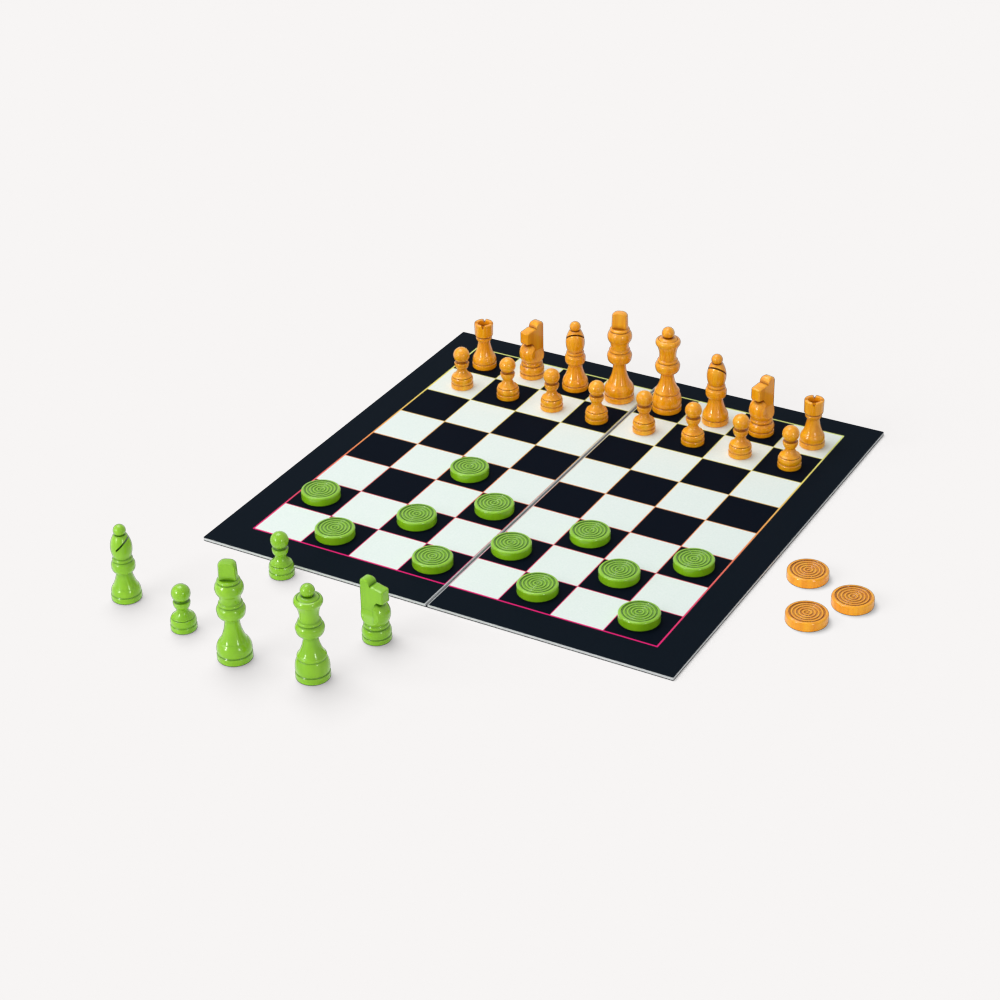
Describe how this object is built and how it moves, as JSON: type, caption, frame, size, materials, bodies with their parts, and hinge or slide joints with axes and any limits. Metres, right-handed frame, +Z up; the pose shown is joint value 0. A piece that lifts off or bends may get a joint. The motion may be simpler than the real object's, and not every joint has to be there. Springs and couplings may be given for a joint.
{
  "type": "chess and checkers set",
  "caption": "Folding checkered game board with turned wooden chessmen and ring-grooved checkers standing on it and beside it.",
  "frame": {"origin": "centre of the playing field, on the fold line, at the underside of the open board", "axes": "+X across the fold towards the right leaf, +Y along the fold towards the far edge where the orange chessmen stand, +Z up out of the printed face"},
  "size_m": [0.395, 0.4157, 0.0652],
  "materials": {
    "printed_sheet": "matt coated print",
    "core_board": "bare light grey board",
    "back_paper": "black backing paper",
    "green_lacquer": "glossy green lacquer",
    "orange_stain": "glossy orange stain"
  },
  "bodies": {
    "left_leaf": {"left_core": "core_board", "left_top_sheet": "printed_sheet", "left_back_paper": "back_paper", "hinge_strip": "back_paper"},
    "right_leaf": {"right_core": "core_board", "right_top_sheet": "printed_sheet", "right_back_paper": "back_paper"},
    "orange_rook_left": {"orange_rook_left": "orange_stain"},
    "orange_knight_left": {"orange_knight_left": "orange_stain"},
    "orange_bishop_left": {"orange_bishop_left": "orange_stain"},
    "orange_king": {"orange_king": "orange_stain"},
    "orange_pawn_1": {"orange_pawn_1": "orange_stain"},
    "orange_pawn_2": {"orange_pawn_2": "orange_stain"},
    "orange_pawn_3": {"orange_pawn_3": "orange_stain"},
    "orange_pawn_4": {"orange_pawn_4": "orange_stain"},
    "green_checker_01": {"green_checker_01": "green_lacquer"},
    "green_checker_02": {"green_checker_02": "green_lacquer"},
    "green_checker_05": {"green_checker_05": "green_lacquer"},
    "green_checker_06": {"green_checker_06": "green_lacquer"},
    "green_checker_09": {"green_checker_09": "green_lacquer"},
    "green_checker_12": {"green_checker_12": "green_lacquer"},
    "orange_queen": {"orange_queen": "orange_stain"},
    "orange_bishop_right": {"orange_bishop_right": "orange_stain"},
    "orange_knight_right": {"orange_knight_right": "orange_stain"},
    "orange_rook_right": {"orange_rook_right": "orange_stain"},
    "orange_pawn_5": {"orange_pawn_5": "orange_stain"},
    "orange_pawn_6": {"orange_pawn_6": "orange_stain"},
    "orange_pawn_7": {"orange_pawn_7": "orange_stain"},
    "orange_pawn_8": {"orange_pawn_8": "orange_stain"},
    "green_checker_03": {"green_checker_03": "green_lacquer"},
    "green_checker_04": {"green_checker_04": "green_lacquer"},
    "green_checker_07": {"green_checker_07": "green_lacquer"},
    "green_checker_08": {"green_checker_08": "green_lacquer"},
    "green_checker_10": {"green_checker_10": "green_lacquer"},
    "green_checker_11": {"green_checker_11": "green_lacquer"},
    "green_bishop": {"green_bishop": "green_lacquer"},
    "green_pawn_1": {"green_pawn_1": "green_lacquer"},
    "green_king": {"green_king": "green_lacquer"},
    "green_pawn_2": {"green_pawn_2": "green_lacquer"},
    "green_queen": {"green_queen": "green_lacquer"},
    "green_knight": {"green_knight": "green_lacquer"},
    "orange_checker_1": {"orange_checker_1": "orange_stain"},
    "orange_checker_2": {"orange_checker_2": "orange_stain"},
    "orange_checker_3": {"orange_checker_3": "orange_stain"}
  },
  "joints": [
    {"name": "fold", "type": "hinge", "parent": "left_leaf", "child": "right_leaf", "pos_m": [0, 0, -0.0001], "axis": [0, 1, 0], "range_deg": [0, 180]},
    {"name": "orange_rook_left_lift", "type": "slide", "parent": "left_leaf", "child": "orange_rook_left", "axis": [0, 0, 1], "range_m": [0, 0.08]},
    {"name": "orange_knight_left_lift", "type": "slide", "parent": "left_leaf", "child": "orange_knight_left", "axis": [0, 0, 1], "range_m": [0, 0.08]},
    {"name": "orange_bishop_left_lift", "type": "slide", "parent": "left_leaf", "child": "orange_bishop_left", "axis": [0, 0, 1], "range_m": [0, 0.08]},
    {"name": "orange_king_lift", "type": "slide", "parent": "left_leaf", "child": "orange_king", "axis": [0, 0, 1], "range_m": [0, 0.08]},
    {"name": "orange_pawn_1_lift", "type": "slide", "parent": "left_leaf", "child": "orange_pawn_1", "axis": [0, 0, 1], "range_m": [0, 0.08]},
    {"name": "orange_pawn_2_lift", "type": "slide", "parent": "left_leaf", "child": "orange_pawn_2", "axis": [0, 0, 1], "range_m": [0, 0.08]},
    {"name": "orange_pawn_3_lift", "type": "slide", "parent": "left_leaf", "child": "orange_pawn_3", "axis": [0, 0, 1], "range_m": [0, 0.08]},
    {"name": "orange_pawn_4_lift", "type": "slide", "parent": "left_leaf", "child": "orange_pawn_4", "axis": [0, 0, 1], "range_m": [0, 0.08]},
    {"name": "green_checker_01_lift", "type": "slide", "parent": "left_leaf", "child": "green_checker_01", "axis": [0, 0, 1], "range_m": [0, 0.08]},
    {"name": "green_checker_02_lift", "type": "slide", "parent": "left_leaf", "child": "green_checker_02", "axis": [0, 0, 1], "range_m": [0, 0.08]},
    {"name": "green_checker_05_lift", "type": "slide", "parent": "left_leaf", "child": "green_checker_05", "axis": [0, 0, 1], "range_m": [0, 0.08]},
    {"name": "green_checker_06_lift", "type": "slide", "parent": "left_leaf", "child": "green_checker_06", "axis": [0, 0, 1], "range_m": [0, 0.08]},
    {"name": "green_checker_09_lift", "type": "slide", "parent": "left_leaf", "child": "green_checker_09", "axis": [0, 0, 1], "range_m": [0, 0.08]},
    {"name": "green_checker_12_lift", "type": "slide", "parent": "left_leaf", "child": "green_checker_12", "axis": [0, 0, 1], "range_m": [0, 0.08]},
    {"name": "orange_queen_lift", "type": "slide", "parent": "right_leaf", "child": "orange_queen", "axis": [0, 0, 1], "range_m": [0, 0.08]},
    {"name": "orange_bishop_right_lift", "type": "slide", "parent": "right_leaf", "child": "orange_bishop_right", "axis": [0, 0, 1], "range_m": [0, 0.08]},
    {"name": "orange_knight_right_lift", "type": "slide", "parent": "right_leaf", "child": "orange_knight_right", "axis": [0, 0, 1], "range_m": [0, 0.08]},
    {"name": "orange_rook_right_lift", "type": "slide", "parent": "right_leaf", "child": "orange_rook_right", "axis": [0, 0, 1], "range_m": [0, 0.08]},
    {"name": "orange_pawn_5_lift", "type": "slide", "parent": "right_leaf", "child": "orange_pawn_5", "axis": [0, 0, 1], "range_m": [0, 0.08]},
    {"name": "orange_pawn_6_lift", "type": "slide", "parent": "right_leaf", "child": "orange_pawn_6", "axis": [0, 0, 1], "range_m": [0, 0.08]},
    {"name": "orange_pawn_7_lift", "type": "slide", "parent": "right_leaf", "child": "orange_pawn_7", "axis": [0, 0, 1], "range_m": [0, 0.08]},
    {"name": "orange_pawn_8_lift", "type": "slide", "parent": "right_leaf", "child": "orange_pawn_8", "axis": [0, 0, 1], "range_m": [0, 0.08]},
    {"name": "green_checker_03_lift", "type": "slide", "parent": "right_leaf", "child": "green_checker_03", "axis": [0, 0, 1], "range_m": [0, 0.08]},
    {"name": "green_checker_04_lift", "type": "slide", "parent": "right_leaf", "child": "green_checker_04", "axis": [0, 0, 1], "range_m": [0, 0.08]},
    {"name": "green_checker_07_lift", "type": "slide", "parent": "right_leaf", "child": "green_checker_07", "axis": [0, 0, 1], "range_m": [0, 0.08]},
    {"name": "green_checker_08_lift", "type": "slide", "parent": "right_leaf", "child": "green_checker_08", "axis": [0, 0, 1], "range_m": [0, 0.08]},
    {"name": "green_checker_10_lift", "type": "slide", "parent": "right_leaf", "child": "green_checker_10", "axis": [0, 0, 1], "range_m": [0, 0.08]},
    {"name": "green_checker_11_lift", "type": "slide", "parent": "right_leaf", "child": "green_checker_11", "axis": [0, 0, 1], "range_m": [0, 0.08]},
    {"name": "green_bishop_lift", "type": "slide", "parent": "left_leaf", "child": "green_bishop", "axis": [0, 0, 1], "range_m": [0, 0.08]},
    {"name": "green_pawn_1_lift", "type": "slide", "parent": "left_leaf", "child": "green_pawn_1", "axis": [0, 0, 1], "range_m": [0, 0.08]},
    {"name": "green_king_lift", "type": "slide", "parent": "left_leaf", "child": "green_king", "axis": [0, 0, 1], "range_m": [0, 0.08]},
    {"name": "green_pawn_2_lift", "type": "slide", "parent": "left_leaf", "child": "green_pawn_2", "axis": [0, 0, 1], "range_m": [0, 0.08]},
    {"name": "green_queen_lift", "type": "slide", "parent": "left_leaf", "child": "green_queen", "axis": [0, 0, 1], "range_m": [0, 0.08]},
    {"name": "green_knight_lift", "type": "slide", "parent": "left_leaf", "child": "green_knight", "axis": [0, 0, 1], "range_m": [0, 0.08]},
    {"name": "orange_checker_1_lift", "type": "slide", "parent": "left_leaf", "child": "orange_checker_1", "axis": [0, 0, 1], "range_m": [0, 0.08]},
    {"name": "orange_checker_2_lift", "type": "slide", "parent": "left_leaf", "child": "orange_checker_2", "axis": [0, 0, 1], "range_m": [0, 0.08]},
    {"name": "orange_checker_3_lift", "type": "slide", "parent": "left_leaf", "child": "orange_checker_3", "axis": [0, 0, 1], "range_m": [0, 0.08]}
  ]
}
